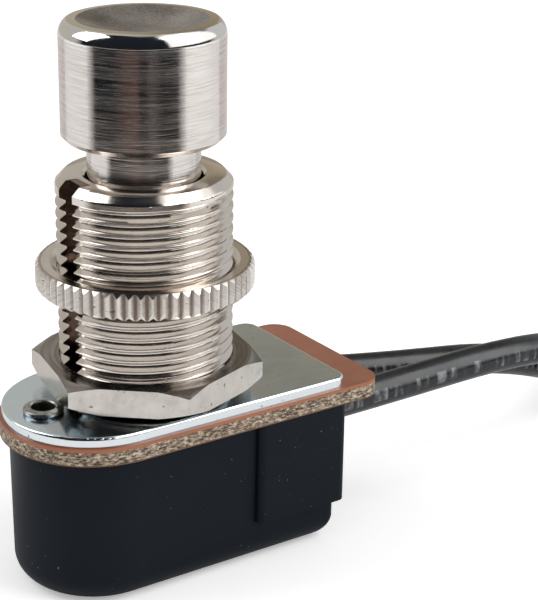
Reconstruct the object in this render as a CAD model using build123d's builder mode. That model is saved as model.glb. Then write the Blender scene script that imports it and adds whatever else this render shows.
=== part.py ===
"""Panel-mount momentary push-button switch with two wire leads, in millimetres.

Frame: the origin is on the bushing's axis at the top face of the mounting plate,
+Z runs up the bushing to the button, and +X runs to the end where the leads come out.
"""

import os
from math import cos, pi, radians, sin, tan

from build123d import *

# Running gaps
RUN_GAP = 0.04
SEAT_GAP = 0.05
STOP_GAP = 0.10
FACE_GAP = 0.02

# Mounting plate
PLATE_WIDTH = 12.48
PLATE_T = 0.75
PLATE_END_X = 12.86
PLATE_CORNER_R = 1.0
PLATE_EDGE_R = 0.2
ROUND_END_X = -4.23

# Insulating board under the plate
BOARD_WIDTH = 12.87
BOARD_T = 1.25
BOARD_END_X = 15.83
BOARD_CORNER_R = 1.5

# Threaded bushing
THREAD_D = 11.906
BUSHING_H = 15.46
LIP_CHAMFER = 0.52
BORE_D = 7.91
BORE_CHAMFER = 0.2
WEB_TOP_Z = 1.2
KEYWAY_W = 1.85
KEYWAY_DEPTH = 0.9
KEYWAY_DEG = 178.8
SPIGOT_D = 9.4
CLINCH_D = 11.0
CLINCH_T = 0.4

# Push button
HEAD_D = 10.96
HEAD_H = 7.9
HEAD_GAP = 2.41
HEAD_SHOULDER_H = 1.4
RIM_D = 9.3
LAND_D = 7.9
LAND_SLOPE = 0.1
DISH_DEPTH = 0.85
HEAD_FOOT_CHAMFER = 0.35
NECK_D = 7.6
NECK_ENGAGEMENT = 8.46
TRAVEL = 2.1

# Return spring
SPRING_WIRE_D = 0.6
SPRING_MEAN_D = 5.9
SPRING_TURNS = 4.5

# Plunger
PLUNGER_D = 3.2
PLUNGER_SOCKET = 2.2
WEB_HOLE_GAP = 0.15
FLANGE_D = 5.4
FLANGE_T = 0.9
PIN_D = 2.0
PIN_L = 1.7

# Contacts
BRIDGE_DROP = 2.85
BRIDGE_W = 2.8
BRIDGE_T = 0.5
BRIDGE_OVERHANG = 1.2
CONTACT_D = 1.9
CONTACT_H = 0.45
CLIP_D = 3.5
CLIP_T = 0.4

# Case
CASE_WIDTH_TOP = 11.6
CASE_DRAFT_DEG = 0.53
CASE_END_X = 12.4
CASE_BOTTOM_Z = -12.8
CASE_CORNER_R = 0.6
CASE_FOOT_R = 1.8
CASE_WALL = 1.2
CASE_FLOOR = 1.5
PAD_X = 5.35
PAD_PROUD = 0.5
PAD_END_PROUD = 0.45
PAD_H = 7.6
PAD_EDGE_R = 0.45
BOSS_D = 3.8
RECESS_D = 3.2
RECESS_DEPTH = 1.6

# Eyelets
FRONT_EYELET_X = -8.04
REAR_EYELET_X = 7.5
EYELET_TUBE_D = 2.2
EYELET_BORE_D = 1.6
EYELET_ROLL_D = 2.75
EYELET_ROLL_H = 0.45
EYELET_ROLL_FALL = 0.08
EYELET_UNDERCUT = 0.13
EYELET_MOUTH_R = 0.18
EYELET_EDGE_R = 0.12
EYELET_HEAD_D = 3.0
EYELET_HEAD_T = 0.35

# Nuts
RING_D = 14.86
RING_Z = 7.62
RING_H = 1.81
RING_CHAMFER = 0.25
KNURL_COUNT = 60
KNURL_DEPTH = 0.34
KNURL_ANGLE_DEG = 92.0
RING_LAND_W = 0.73
RING_SINK_H = 0.35
HEX_AF = 13.97
HEX_H = 1.9
HEX_TURN_DEG = 19.65
HEX_CHAMFER_D = 14.5
HEX_CHAMFER_DEG = 26.5
HEX_NUT_GAP = 0.3

# Leads and their terminals
LEAD_D = 2.4
LEAD_Y = 3.0
LEAD_Z = -3.6
LEAD_START_X = 10.3
LEAD_NOTCH_GAP = 0.05
CONDUCTOR_D = 0.8
TIP_L = 6.0
TIP_TURN_DEG = 12.0
BARREL_D = 2.0
BARREL_L = 2.4
STRIP_W = 1.8
STRIP_T = 0.5
STRIP_X = -1.6

# Coil of the put-away length, and the tie round it
COIL_X = 56.0
COIL_Y = -6.8
COIL_R_OUT = 13.6
COIL_PITCH = 2.6
COIL_TURNS = 1.46
COIL_JOIN_DEG = 100.0
LAYER_GAP = 0.2
TIE_W = 3.0
TIE_T = 0.3
TIE_DEG = 30.0
TIE_TAIL_D = 1.0
TIE_TAIL_L = 7.0

# Levels and sizes that follow
BOARD_BOTTOM = -PLATE_T - BOARD_T
THREAD_R = THREAD_D / 2
PLUNGER_R = PLUNGER_D / 2
CLINCH_BOTTOM = -PLATE_T - CLINCH_T
HEAD_BOTTOM = BUSHING_H + HEAD_GAP
HEAD_TOP = HEAD_BOTTOM + HEAD_H
NECK_BOTTOM = BUSHING_H - NECK_ENGAGEMENT
FLANGE_TOP = CLINCH_BOTTOM - STOP_GAP
BRIDGE_TOP = FLANGE_TOP - FLANGE_T - BRIDGE_DROP
BRIDGE_BOTTOM = BRIDGE_TOP - BRIDGE_T
MOVING_CONTACT_BOTTOM = BRIDGE_BOTTOM - CONTACT_H
FIXED_CONTACT_TOP = MOVING_CONTACT_BOTTOM - TRAVEL - SEAT_GAP
STRIP_TOP = FIXED_CONTACT_TOP - CONTACT_H
STRIP_BOTTOM = STRIP_TOP - STRIP_T
FLOOR_TOP = CASE_BOTTOM_Z + CASE_FLOOR
CASE_H = BOARD_BOTTOM - CASE_BOTTOM_Z
PAD_END_X = CASE_END_X + PAD_END_PROUD
EYELET_XS = (FRONT_EYELET_X, REAR_EYELET_X)
EYELET_SEAT = CASE_BOTTOM_Z + RECESS_DEPTH
EYELET_HOLE_R = EYELET_TUBE_D / 2 + SEAT_GAP
BARREL_X = LEAD_START_X - 2 * STOP_GAP - BARREL_L
CONDUCTOR_ROOT_X = BARREL_X + STRIP_T
LEAD_R = LEAD_D / 2
REAR_LAYER_Z = CASE_BOTTOM_Z + TIE_T + LEAD_R
FRONT_LAYER_Z = REAR_LAYER_Z + LEAD_D + LAYER_GAP
COIL_R_IN = COIL_R_OUT - COIL_PITCH * COIL_TURNS

os.makedirs("parts", exist_ok=True)


def d_outline(width, end_x, corner_r):
    """Outline with a round end at -X and a square end with rounded corners at +X."""
    with BuildSketch() as outline:
        with BuildLine():
            top = Line((ROUND_END_X, width / 2), (end_x, width / 2))
            end = Line(top @ 1, (end_x, -width / 2))
            bottom = Line(end @ 1, (ROUND_END_X, -width / 2))
            ThreePointArc(bottom @ 1, (ROUND_END_X - width / 2, 0), top @ 0)
        make_face()
        fillet(outline.vertices().group_by(Axis.X)[-1], corner_r)
    return outline.sketch


def save(part, name):
    """Label a finished piece and write its file."""
    part.label = name
    export_step(part, f"parts/{name}.step")


# Mounting plate, with the bushing's hole and one hole for each eyelet
with BuildPart() as frame_plate:
    with BuildSketch(Plane.XY.offset(-PLATE_T)):
        add(d_outline(PLATE_WIDTH, PLATE_END_X, PLATE_CORNER_R))
        Circle(SPIGOT_D / 2, mode=Mode.SUBTRACT)
        for eyelet_x in EYELET_XS:
            with Locations((eyelet_x, 0)):
                Circle(EYELET_HOLE_R, mode=Mode.SUBTRACT)
    extrude(amount=PLATE_T)
    rim = frame_plate.faces().sort_by(Axis.Z)[-1].outer_wire()
    fillet(rim.edges(), PLATE_EDGE_R)
save(frame_plate.part, "frame_plate")

# Insulating board, which clears the clinched foot of the bushing
with BuildPart() as insulating_board:
    with BuildSketch(Plane.XY.offset(BOARD_BOTTOM)):
        add(d_outline(BOARD_WIDTH, BOARD_END_X, BOARD_CORNER_R))
        Circle(CLINCH_D / 2 + STOP_GAP, mode=Mode.SUBTRACT)
        for eyelet_x in EYELET_XS:
            with Locations((eyelet_x, 0)):
                Circle(EYELET_HOLE_R, mode=Mode.SUBTRACT)
    extrude(amount=BOARD_T)
save(insulating_board.part, "insulating_board")

# Bushing: thread at its major diameter, spigot through the plate and clinched foot
with BuildPart() as bushing:
    with BuildSketch(Plane.XZ):
        with BuildLine():
            Polyline(
                (PLUNGER_R + WEB_HOLE_GAP, CLINCH_BOTTOM),
                (CLINCH_D / 2, CLINCH_BOTTOM),
                (CLINCH_D / 2, -PLATE_T),
                (SPIGOT_D / 2, -PLATE_T),
                (SPIGOT_D / 2, 0),
                (THREAD_R, 0),
                (THREAD_R, BUSHING_H - LIP_CHAMFER),
                (THREAD_R - LIP_CHAMFER, BUSHING_H),
                (BORE_D / 2 + BORE_CHAMFER, BUSHING_H),
                (BORE_D / 2, BUSHING_H - BORE_CHAMFER),
                (BORE_D / 2, WEB_TOP_Z),
                (PLUNGER_R + WEB_HOLE_GAP, WEB_TOP_Z),
                close=True,
            )
        make_face()
    revolve(axis=Axis.Z)
    # Keyway along the whole thread, on the side of the front eyelet
    with BuildSketch():
        with PolarLocations(THREAD_R, 1, start_angle=KEYWAY_DEG):
            Rectangle(2 * KEYWAY_DEPTH, KEYWAY_W)
    extrude(amount=BUSHING_H, mode=Mode.SUBTRACT)
save(bushing.part, "bushing")

# Push button: dished head, undercut neck and a socket for the plunger
with BuildPart() as button:
    with BuildSketch(Plane.XZ):
        with BuildLine():
            land_z = HEAD_TOP - LAND_SLOPE
            head_foot = (HEAD_D / 2 - HEAD_FOOT_CHAMFER, HEAD_BOTTOM)
            Polyline(
                (0, NECK_BOTTOM + PLUNGER_SOCKET),
                (PLUNGER_R, NECK_BOTTOM + PLUNGER_SOCKET),
                (PLUNGER_R, NECK_BOTTOM),
                (NECK_D / 2, NECK_BOTTOM),
                (NECK_D / 2, HEAD_BOTTOM),
                head_foot,
                (HEAD_D / 2, HEAD_BOTTOM + HEAD_FOOT_CHAMFER),
                (HEAD_D / 2, HEAD_TOP - HEAD_SHOULDER_H),
            )
            TangentArc(
                (HEAD_D / 2, HEAD_TOP - HEAD_SHOULDER_H),
                (RIM_D / 2, land_z),
                tangent=(0, 1),
            )
            Line((RIM_D / 2, land_z), (LAND_D / 2, HEAD_TOP))
            TangentArc((0, HEAD_TOP - DISH_DEPTH), (LAND_D / 2, HEAD_TOP), tangent=(1, 0))
            Line((0, HEAD_TOP - DISH_DEPTH), (0, NECK_BOTTOM + PLUNGER_SOCKET))
        make_face()
    revolve(axis=Axis.Z)
save(button.part, "button")

# Return spring between the bushing's web and the neck
spring_h = NECK_BOTTOM - WEB_TOP_Z - SPRING_WIRE_D - 2 * FACE_GAP
with BuildPart() as return_spring:
    with BuildLine(Plane.XY.offset(WEB_TOP_Z + SPRING_WIRE_D / 2 + FACE_GAP)) as coil_line:
        Helix(spring_h / SPRING_TURNS, spring_h, SPRING_MEAN_D / 2)
    with BuildSketch(Plane(coil_line.line @ 0, z_dir=coil_line.line % 0)):
        RegularPolygon(SPRING_WIRE_D / 2, 6)
    sweep(is_frenet=True)
save(return_spring.part, "return_spring")

# Plunger: rod, stop flange under the bushing, and a pin that carries the bridge
with BuildPart() as plunger:
    with BuildSketch(Plane.XZ):
        pin_top = BRIDGE_TOP
        pin_bottom = BRIDGE_TOP - PIN_L
        with BuildLine():
            Polyline(
                (0, NECK_BOTTOM + PLUNGER_SOCKET - SEAT_GAP),
                (PLUNGER_R, NECK_BOTTOM + PLUNGER_SOCKET - SEAT_GAP),
                (PLUNGER_R, FLANGE_TOP),
                (FLANGE_D / 2, FLANGE_TOP),
                (FLANGE_D / 2, FLANGE_TOP - FLANGE_T),
                (PLUNGER_R, FLANGE_TOP - FLANGE_T),
                (PLUNGER_R, pin_top),
                (PIN_D / 2, pin_top),
                (PIN_D / 2, pin_bottom),
                (0, pin_bottom),
                close=True,
            )
        make_face()
    revolve(axis=Axis.Z)
    chamfer(plunger.edges().group_by(Axis.Z)[0], PIN_D / 8)
save(plunger.part, "plunger")

# Contact bridge, with its rounded ends over the fixed contacts
with BuildPart() as contact_bridge:
    with BuildSketch(Plane.XY.offset(BRIDGE_BOTTOM)):
        SlotOverall(2 * (LEAD_Y + BRIDGE_OVERHANG), BRIDGE_W, rotation=90)
        Circle(PIN_D / 2, mode=Mode.SUBTRACT)
    extrude(amount=BRIDGE_T)
save(contact_bridge.part, "contact_bridge")

# Contact buttons: a pair under the bridge, and one on each terminal
with BuildPart() as moving_contacts:
    with BuildSketch(Plane.XY.offset(MOVING_CONTACT_BOTTOM)):
        with Locations((0, -LEAD_Y), (0, LEAD_Y)):
            Circle(CONTACT_D / 2)
    extrude(amount=CONTACT_H)
save(moving_contacts.part, "moving_contacts")

for side, side_name in ((-1, "front"), (1, "rear")):
    with BuildPart() as fixed_contact:
        with BuildSketch(Plane.XY.offset(STRIP_TOP)):
            with Locations((0, side * LEAD_Y)):
                Circle(CONTACT_D / 2)
        extrude(amount=CONTACT_H)
    save(fixed_contact.part, f"{side_name}_fixed_contact")

# Push-on washer that holds the bridge on the plunger's pin
with BuildPart() as bridge_clip:
    with BuildSketch(Plane.XY.offset(BRIDGE_BOTTOM - CLIP_T)):
        Circle(CLIP_D / 2)
        Circle(PIN_D / 2, mode=Mode.SUBTRACT)
    extrude(amount=CLIP_T)
save(bridge_clip.part, "bridge_clip")

# Case: drafted cup with a raised pad round its square end, bosses, ledges and lead notches
inner_half = CASE_WIDTH_TOP / 2 - CASE_WALL
with BuildPart() as case:
    with BuildSketch(Plane.XY.offset(BOARD_BOTTOM)):
        add(d_outline(CASE_WIDTH_TOP, CASE_END_X, CASE_CORNER_R))
    extrude(amount=-CASE_H, taper=CASE_DRAFT_DEG)
    fillet(case.faces().sort_by(Axis.Z)[0].edges(), CASE_FOOT_R)
    with BuildSketch(Plane.XY.offset(BOARD_BOTTOM)) as pad:
        pad_half = CASE_WIDTH_TOP / 2 + PAD_PROUD
        with Locations(((PAD_X + PAD_END_X) / 2, 0)):
            Rectangle(PAD_END_X - PAD_X, 2 * pad_half)
        fillet(pad.vertices().group_by(Axis.X)[-1], CASE_CORNER_R)
        fillet(pad.vertices().group_by(Axis.X)[0], PAD_EDGE_R)
    extrude(amount=-PAD_H)
    # Contact chamber
    with BuildSketch(Plane.XY.offset(FLOOR_TOP)):
        add(d_outline(2 * inner_half, CASE_END_X - CASE_WALL, CASE_CORNER_R))
        for eyelet_x in EYELET_XS:
            with Locations((eyelet_x, 0)):
                Circle(BOSS_D / 2, mode=Mode.SUBTRACT)
        with Locations(((FRONT_EYELET_X - inner_half + ROUND_END_X) / 2, 0)):
            Rectangle(ROUND_END_X - inner_half - FRONT_EYELET_X, BOSS_D, mode=Mode.SUBTRACT)
    extrude(amount=BOARD_BOTTOM - FLOOR_TOP, mode=Mode.SUBTRACT)
    # Ledges under the two terminals
    with BuildSketch(Plane.XY.offset(FLOOR_TOP)):
        ledge_end_x = BARREL_X + STRIP_T
        ledge_w = inner_half - LEAD_Y + STRIP_W / 2
        for side in (-1, 1):
            with Locations(((STRIP_X + ledge_end_x) / 2, side * (inner_half - ledge_w / 2))):
                Rectangle(ledge_end_x - STRIP_X, ledge_w)
    extrude(amount=STRIP_BOTTOM - FLOOR_TOP)
    # Notches for the leads, open to the board
    with BuildSketch(Plane.YZ.offset(CASE_END_X - CASE_WALL - PAD_END_PROUD)):
        notch_r = LEAD_R + LEAD_NOTCH_GAP
        for side in (-1, 1):
            with Locations((side * LEAD_Y, LEAD_Z)):
                Circle(notch_r)
            with Locations((side * LEAD_Y, (LEAD_Z + BOARD_BOTTOM) / 2)):
                Rectangle(2 * notch_r, BOARD_BOTTOM - LEAD_Z)
    extrude(amount=CASE_WALL + 3 * PAD_END_PROUD, mode=Mode.SUBTRACT)
    # Eyelet holes, each with a recess for the eyelet's head
    with Locations(*(Location((x, 0, CASE_BOTTOM_Z), (180, 0, 0)) for x in EYELET_XS)):
        CounterBoreHole(EYELET_HOLE_R, RECESS_D / 2, RECESS_DEPTH, CASE_H)
save(case.part, "case")

# Eyelets: a tube with a set head in the case and a rolled rim on the plate
for eyelet_x, eyelet_name in ((FRONT_EYELET_X, "front_eyelet"), (REAR_EYELET_X, "rear_eyelet")):
    with BuildPart() as eyelet:
        with BuildSketch(Plane.XZ):
            bore_r = EYELET_BORE_D / 2
            roll_r = EYELET_ROLL_D / 2
            edge_z = EYELET_ROLL_H - EYELET_ROLL_FALL
            with BuildLine():
                Polyline(
                    (bore_r, EYELET_ROLL_H - EYELET_MOUTH_R),
                    (bore_r, EYELET_SEAT - EYELET_HEAD_T),
                    (EYELET_HEAD_D / 2, EYELET_SEAT - EYELET_HEAD_T),
                    (EYELET_HEAD_D / 2, EYELET_SEAT),
                    (EYELET_TUBE_D / 2, EYELET_SEAT),
                    (EYELET_TUBE_D / 2, 0),
                    (roll_r - EYELET_UNDERCUT, 0),
                    (roll_r, EYELET_UNDERCUT),
                    (roll_r, edge_z - EYELET_EDGE_R),
                )
                edge = TangentArc(
                    (roll_r, edge_z - EYELET_EDGE_R),
                    (roll_r - EYELET_EDGE_R, edge_z),
                    tangent=(0, 1),
                )
                face = Line(edge @ 1, (bore_r + EYELET_MOUTH_R, EYELET_ROLL_H))
                TangentArc(
                    face @ 1,
                    (bore_r, EYELET_ROLL_H - EYELET_MOUTH_R),
                    tangent=(-1, 0),
                )
            make_face()
        revolve(axis=Axis.Z)
    save(eyelet.part.moved(Location((eyelet_x, 0, 0))), eyelet_name)

# Knurled ring nut, countersunk on top
with BuildPart() as knurled_nut:
    with BuildSketch(Plane.XZ):
        ring_top = RING_Z + RING_H
        ring_bore_r = THREAD_R + RUN_GAP
        with BuildLine():
            Polyline(
                (ring_bore_r, RING_Z),
                (RING_D / 2 - RING_CHAMFER, RING_Z),
                (RING_D / 2, RING_Z + RING_CHAMFER),
                (RING_D / 2, ring_top - RING_CHAMFER),
                (RING_D / 2 - RING_CHAMFER, ring_top),
                (RING_D / 2 - RING_CHAMFER - RING_LAND_W, ring_top),
                (ring_bore_r, ring_top - RING_SINK_H),
                close=True,
            )
        make_face()
    revolve(axis=Axis.Z)
    # Knurl of V grooves, which leave a narrow crest on each tooth
    with BuildSketch(Plane.XY.offset(RING_Z)):
        groove_reach = 2 * KNURL_DEPTH
        groove_half = groove_reach * tan(radians(KNURL_ANGLE_DEG / 2))
        with PolarLocations(RING_D / 2 - KNURL_DEPTH, KNURL_COUNT):
            Polygon((0, 0), (groove_reach, -groove_half), (groove_reach, groove_half), align=None)
    extrude(amount=RING_H, mode=Mode.SUBTRACT)
save(knurled_nut.part, "knurled_nut")

# Hexagon nut, its corners chamfered on both faces
with BuildPart() as hex_nut:
    nut_z = EYELET_ROLL_H + HEX_NUT_GAP
    nut_top = nut_z + HEX_H
    hex_corner_r = HEX_AF / 2 / cos(pi / 6)
    with BuildSketch(Plane.XY.offset(nut_z)):
        RegularPolygon(HEX_AF / 2, 6, major_radius=False, rotation=HEX_TURN_DEG)
    extrude(amount=HEX_H)
    with BuildSketch(Plane.XZ):
        chamfer_h = (hex_corner_r - HEX_CHAMFER_D / 2) * tan(radians(HEX_CHAMFER_DEG))
        with BuildLine():
            Polyline(
                (0, nut_z),
                (HEX_CHAMFER_D / 2, nut_z),
                (hex_corner_r, nut_z + chamfer_h),
                (hex_corner_r, nut_top - chamfer_h),
                (HEX_CHAMFER_D / 2, nut_top),
                (0, nut_top),
                close=True,
            )
        make_face()
    revolve(axis=Axis.Z, mode=Mode.INTERSECT)
    Hole(THREAD_R + RUN_GAP)
save(hex_nut.part, "hex_nut")

# Terminals: a strip on the case's ledge, a riser and a barrel crimped on the conductor
for side, side_name in ((-1, "front"), (1, "rear")):
    with BuildPart() as terminal:
        with BuildSketch(Plane.XY.offset(STRIP_BOTTOM)):
            with Locations(((STRIP_X + BARREL_X + STRIP_T) / 2, side * LEAD_Y)):
                Rectangle(BARREL_X + STRIP_T - STRIP_X, STRIP_W)
        extrude(amount=STRIP_T)
        with BuildSketch(Plane.YZ.offset(BARREL_X)):
            with Locations((side * LEAD_Y, (STRIP_BOTTOM + LEAD_Z) / 2)):
                Rectangle(STRIP_W, LEAD_Z - STRIP_BOTTOM)
            with Locations((side * LEAD_Y, LEAD_Z)):
                Circle(BARREL_D / 2)
        extrude(amount=STRIP_T)
        with BuildSketch(Plane.YZ.offset(BARREL_X + STRIP_T)):
            with Locations((side * LEAD_Y, LEAD_Z)):
                Circle(BARREL_D / 2)
                Circle(CONDUCTOR_D / 2 + FACE_GAP, mode=Mode.SUBTRACT)
        extrude(amount=BARREL_L - STRIP_T)
    save(terminal.part, f"{side_name}_terminal")

# Routes of the two leads, from the case to the coil
FRONT_ROUTE = [
    (LEAD_START_X, -3.0, -3.6),
    (15.8, -3.0, -3.6),
    (22.0, -3.45, -3.25),
    (27.5, -3.95, -2.85),
    (33.0, -4.05, -3.1),
    (38.2, -2.9, -4.6),
    (42.6, -0.2, -6.5),
    (46.4, 3.2, -8.15),
    (50.0, 5.45, -8.67),
    (53.64, 6.59, -8.7),
]
REAR_ROUTE = [
    (LEAD_START_X, 3.0, -3.6),
    (15.0, 3.0, -3.6),
    (20.2, 1.9, -4.1),
    (25.0, 0.85, -4.4),
    (30.5, 0.1, -4.85),
    (36.0, -0.35, -6.2),
    (41.3, 0.3, -8.6),
    (45.6, 2.4, -10.5),
    (49.6, 5.0, -11.2),
    (53.64, 6.59, -11.3),
]


def run_length(start, end):
    return (Vector(*end) - Vector(*start)).length


def corner_radii(route):
    """The largest arc that the two runs at each corner leave room for."""
    radii = []
    for before, corner, after in zip(route, route[1:], route[2:]):
        turn = (Vector(*corner) - Vector(*before)).get_angle(Vector(*after) - Vector(*corner))
        shorter = min(run_length(before, corner), run_length(corner, after))
        radii.append(0.45 * shorter / tan(radians(turn) / 2))
    return radii


def coil_ring(layer_z):
    """Outer shape of one lead's turns, which lie in one layer."""
    with BuildPart() as ring:
        with BuildSketch(Plane.XZ) as ring_section:
            with Locations(((COIL_R_OUT + COIL_R_IN) / 2, 0)):
                Rectangle(COIL_R_OUT - COIL_R_IN + LEAD_D, LEAD_D)
            fillet(ring_section.vertices(), LEAD_R / 2)
        revolve(axis=Axis.Z)
    return ring.part.moved(Location((COIL_X, COIL_Y, layer_z)))


end_angle = radians(COIL_JOIN_DEG) - 2 * pi * COIL_TURNS
end_x = COIL_X + COIL_R_IN * cos(end_angle)
end_y = COIL_Y + COIL_R_IN * sin(end_angle)
tip_angle = end_angle - radians(TIP_TURN_DEG)
tip_dir = (sin(tip_angle), -cos(tip_angle), 0)

for name, route, layer_z in (
    ("front_lead", FRONT_ROUTE, FRONT_LAYER_Z),
    ("rear_lead", REAR_ROUTE, REAR_LAYER_Z),
):
    radii = corner_radii(route)
    with BuildPart() as lead:
        with BuildLine() as lead_line:
            FilletPolyline(*route, radius=radii)
        with BuildSketch(Plane(lead_line.line @ 0, z_dir=lead_line.line % 0)):
            Circle(LEAD_R)
        sweep()
    tube_length = lead_line.wires()[0].length
    true_volume = pi * LEAD_R**2 * tube_length
    print(name, "radii", [round(r, 1) for r in radii], "length", round(tube_length, 2))
    print(name, "volume over section times length", round(lead.part.volume / true_volume, 5))
    save(lead.part, name)
    save(coil_ring(layer_z), f"{name}_coil")
    with BuildPart() as tip:
        with BuildSketch(Plane((end_x, end_y, layer_z), z_dir=tip_dir)):
            Circle(CONDUCTOR_D / 2)
        extrude(amount=TIP_L)
    save(tip.part, f"{name}_tip")
    with BuildPart() as inner_end:
        with BuildSketch(Plane((CONDUCTOR_ROOT_X, route[0][1], route[0][2]), z_dir=(1, 0, 0))):
            Circle(CONDUCTOR_D / 2)
        extrude(amount=LEAD_START_X - CONDUCTOR_ROOT_X)
    save(inner_end.part, f"{name}_inner_end")

# Twist tie round both layers of the coil
with BuildPart() as coil_tie:
    tie_mid_r = (COIL_R_OUT + COIL_R_IN) / 2
    inside_w = COIL_R_OUT - COIL_R_IN + LEAD_D + 2 * STOP_GAP
    inside_h = 2 * LEAD_D + LAYER_GAP + STOP_GAP
    mid_z = REAR_LAYER_Z - LEAD_R + inside_h / 2
    with BuildSketch(Plane.XZ):
        with Locations((tie_mid_r, mid_z)):
            Rectangle(inside_w + 2 * TIE_T, inside_h + 2 * TIE_T)
            Rectangle(inside_w, inside_h, mode=Mode.SUBTRACT)
    extrude(amount=TIE_W / 2, both=True)
    with BuildSketch(Plane.XZ):
        with Locations((tie_mid_r, mid_z + inside_h / 2 + TIE_T + TIE_TAIL_D / 2 - FACE_GAP)):
            Circle(TIE_TAIL_D / 2)
    extrude(amount=TIE_TAIL_L / 2, both=True)
save(coil_tie.part.rotate(Axis.Z, TIE_DEG).moved(Location((COIL_X, COIL_Y, 0))), "coil_tie")
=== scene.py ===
"""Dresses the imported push-button switch: materials, threaded bushing, leads, studio and camera."""

from math import asin, ceil, cos, pi, radians, sin, sqrt, tau

import bmesh
import bpy
from mathutils import Matrix, Vector


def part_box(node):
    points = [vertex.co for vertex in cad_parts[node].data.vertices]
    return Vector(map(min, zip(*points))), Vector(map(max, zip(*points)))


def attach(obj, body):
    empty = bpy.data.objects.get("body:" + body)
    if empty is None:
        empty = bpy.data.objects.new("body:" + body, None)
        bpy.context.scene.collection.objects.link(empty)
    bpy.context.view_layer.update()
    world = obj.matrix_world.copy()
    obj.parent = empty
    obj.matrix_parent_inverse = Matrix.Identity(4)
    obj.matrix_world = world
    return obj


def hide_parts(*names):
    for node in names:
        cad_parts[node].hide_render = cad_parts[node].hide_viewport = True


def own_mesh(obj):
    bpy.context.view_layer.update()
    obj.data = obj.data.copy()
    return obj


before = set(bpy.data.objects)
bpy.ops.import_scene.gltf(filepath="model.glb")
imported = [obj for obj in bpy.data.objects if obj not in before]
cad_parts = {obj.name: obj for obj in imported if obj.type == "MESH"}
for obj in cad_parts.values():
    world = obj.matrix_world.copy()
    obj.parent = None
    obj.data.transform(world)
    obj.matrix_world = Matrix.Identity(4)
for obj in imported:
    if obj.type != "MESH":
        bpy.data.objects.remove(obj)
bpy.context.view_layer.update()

MM = 0.001

# Levels taken from the frame
FLOOR_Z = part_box("case")[0].z
PLATE_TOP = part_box("frame_plate")[1].z
BOARD_LOW, BOARD_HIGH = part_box("insulating_board")
BUSHING_LOW, BUSHING_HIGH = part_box("bushing")

# Camera, fitted to the photograph's 538 x 600 frame
FRAME_HEIGHT_PX = 600
FRAME_CENTRE_PX = (269.0, 300.0)
PRINCIPAL_PX = (212.2, 283.4)
FOCAL_PX = 1743.9
CAMERA_AZIMUTH = radians(-33.07)
CAMERA_ELEVATION = radians(20.41)
CAMERA_ROLL = radians(0.19)
CAMERA_DISTANCE = 118.3 * MM
CAMERA_SIDE = 4.538 * MM
CAMERA_TARGET_Z = 7.564 * MM
SENSOR_MM = 36.0

# Thread of the bushing, 15/32-32
THREAD_PITCH = 0.794 * MM
THREAD_DEPTH = 0.47 * MM
THREAD_PHASE = 0.323
THREAD_COLUMNS = 200
# One pitch of the thread, from crest to crest: share of the pitch, share of the depth
THREAD_PROFILE = (
    (0.0, 0.0),
    (0.045, 0.0),
    (0.075, 0.06),
    (0.24, 0.53),
    (0.395, 0.98),
    (0.415, 1.0),
    (0.585, 1.0),
    (0.605, 0.98),
    (0.76, 0.53),
    (0.925, 0.06),
    (0.955, 0.0),
)
# The lip above this is plain, and the thread runs out over a short stretch below it
PLAIN_BAND = 0.9 * MM
THREAD_RUNOUT = 0.2 * MM
LIP_CHAMFER = 0.52 * MM
BORE_R = 3.955 * MM
BORE_CHAMFER = 0.2 * MM
WEB_HOLE_R = 1.75 * MM
WEB_TOP_Z = 1.2 * MM
CLINCH_R = 5.5 * MM
SPIGOT_R = 4.7 * MM
PLATE_T = 0.75 * MM
KEYWAY_W = 1.85 * MM
KEYWAY_DEPTH = 0.9 * MM
KEYWAY_ANGLE = radians(178.8)

# Button: neck with the plunger's socket, and the head's side, shoulder, land and dish
PLUNGER_R = 1.6 * MM
SOCKET_DEPTH = 2.2 * MM
NECK_R = 3.8 * MM
HEAD_FOOT_CHAMFER = 0.35 * MM
HEAD_GAP = 2.41 * MM
LAND_R = 4.325 * MM
LAND_SLOPE = 0.04 * MM
DISH_DEPTH = 0.85 * MM
# Arcs of the shoulder from the side up: radius, and the angle where it ends
SHOULDER_ARCS = ((1.18 * MM, radians(48.0)), (0.3 * MM, radians(84.0)))
ARC_STEPS = 12
TURNED_COLUMNS = 160

# Points nearer than this are one
JOIN_DISTANCE = 0.5e-6

# Leads: diameter, length, and the coil of their put-away length
LEAD_D = 2.4 * MM
# Six inches outside the case and the short stretch inside it
COIL_CENTRE = (56.0 * MM, -6.8 * MM)
COIL_R = 13.6 * MM
COIL_PITCH = 2.6 * MM
COIL_TURNS = 1.46
COIL_JOIN = radians(100.0)
COIL_POINTS_A_TURN = 16

FRONT_ROUTE_MM = [
    (10.3, -3.0, -3.6),
    (15.8, -3.0, -3.6),
    (22.0, -3.45, -3.25),
    (27.5, -3.95, -2.85),
    (33.0, -4.05, -3.1),
    (38.2, -2.9, -4.6),
    (42.6, -0.2, -6.5),
    (46.4, 3.2, -8.15),
    (50.0, 5.45, -8.67),
    (53.64, 6.59, -8.7),
]
REAR_ROUTE_MM = [
    (10.3, 3.0, -3.6),
    (15.0, 3.0, -3.6),
    (20.2, 1.9, -4.1),
    (25.0, 0.85, -4.4),
    (30.5, 0.1, -4.85),
    (36.0, -0.35, -6.2),
    (41.3, 0.3, -8.6),
    (45.6, 2.4, -10.5),
    (49.6, 5.0, -11.2),
    (53.64, 6.59, -11.3),
]


# Node helpers

def add_node(tree, kind, inputs=None, **settings):
    """A node of that kind, with its settings made and its inputs filled or linked."""
    node = tree.nodes.new(kind)
    for name, value in settings.items():
        setattr(node, name, value)
    for key, value in (inputs or {}).items():
        connect(tree, value, node.inputs[key])
    return node


def connect(tree, value, socket):
    """Links an output to a socket, or writes a plain value into it."""
    if isinstance(value, bpy.types.NodeSocket):
        tree.links.new(value, socket)
    else:
        socket.default_value = value


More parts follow.
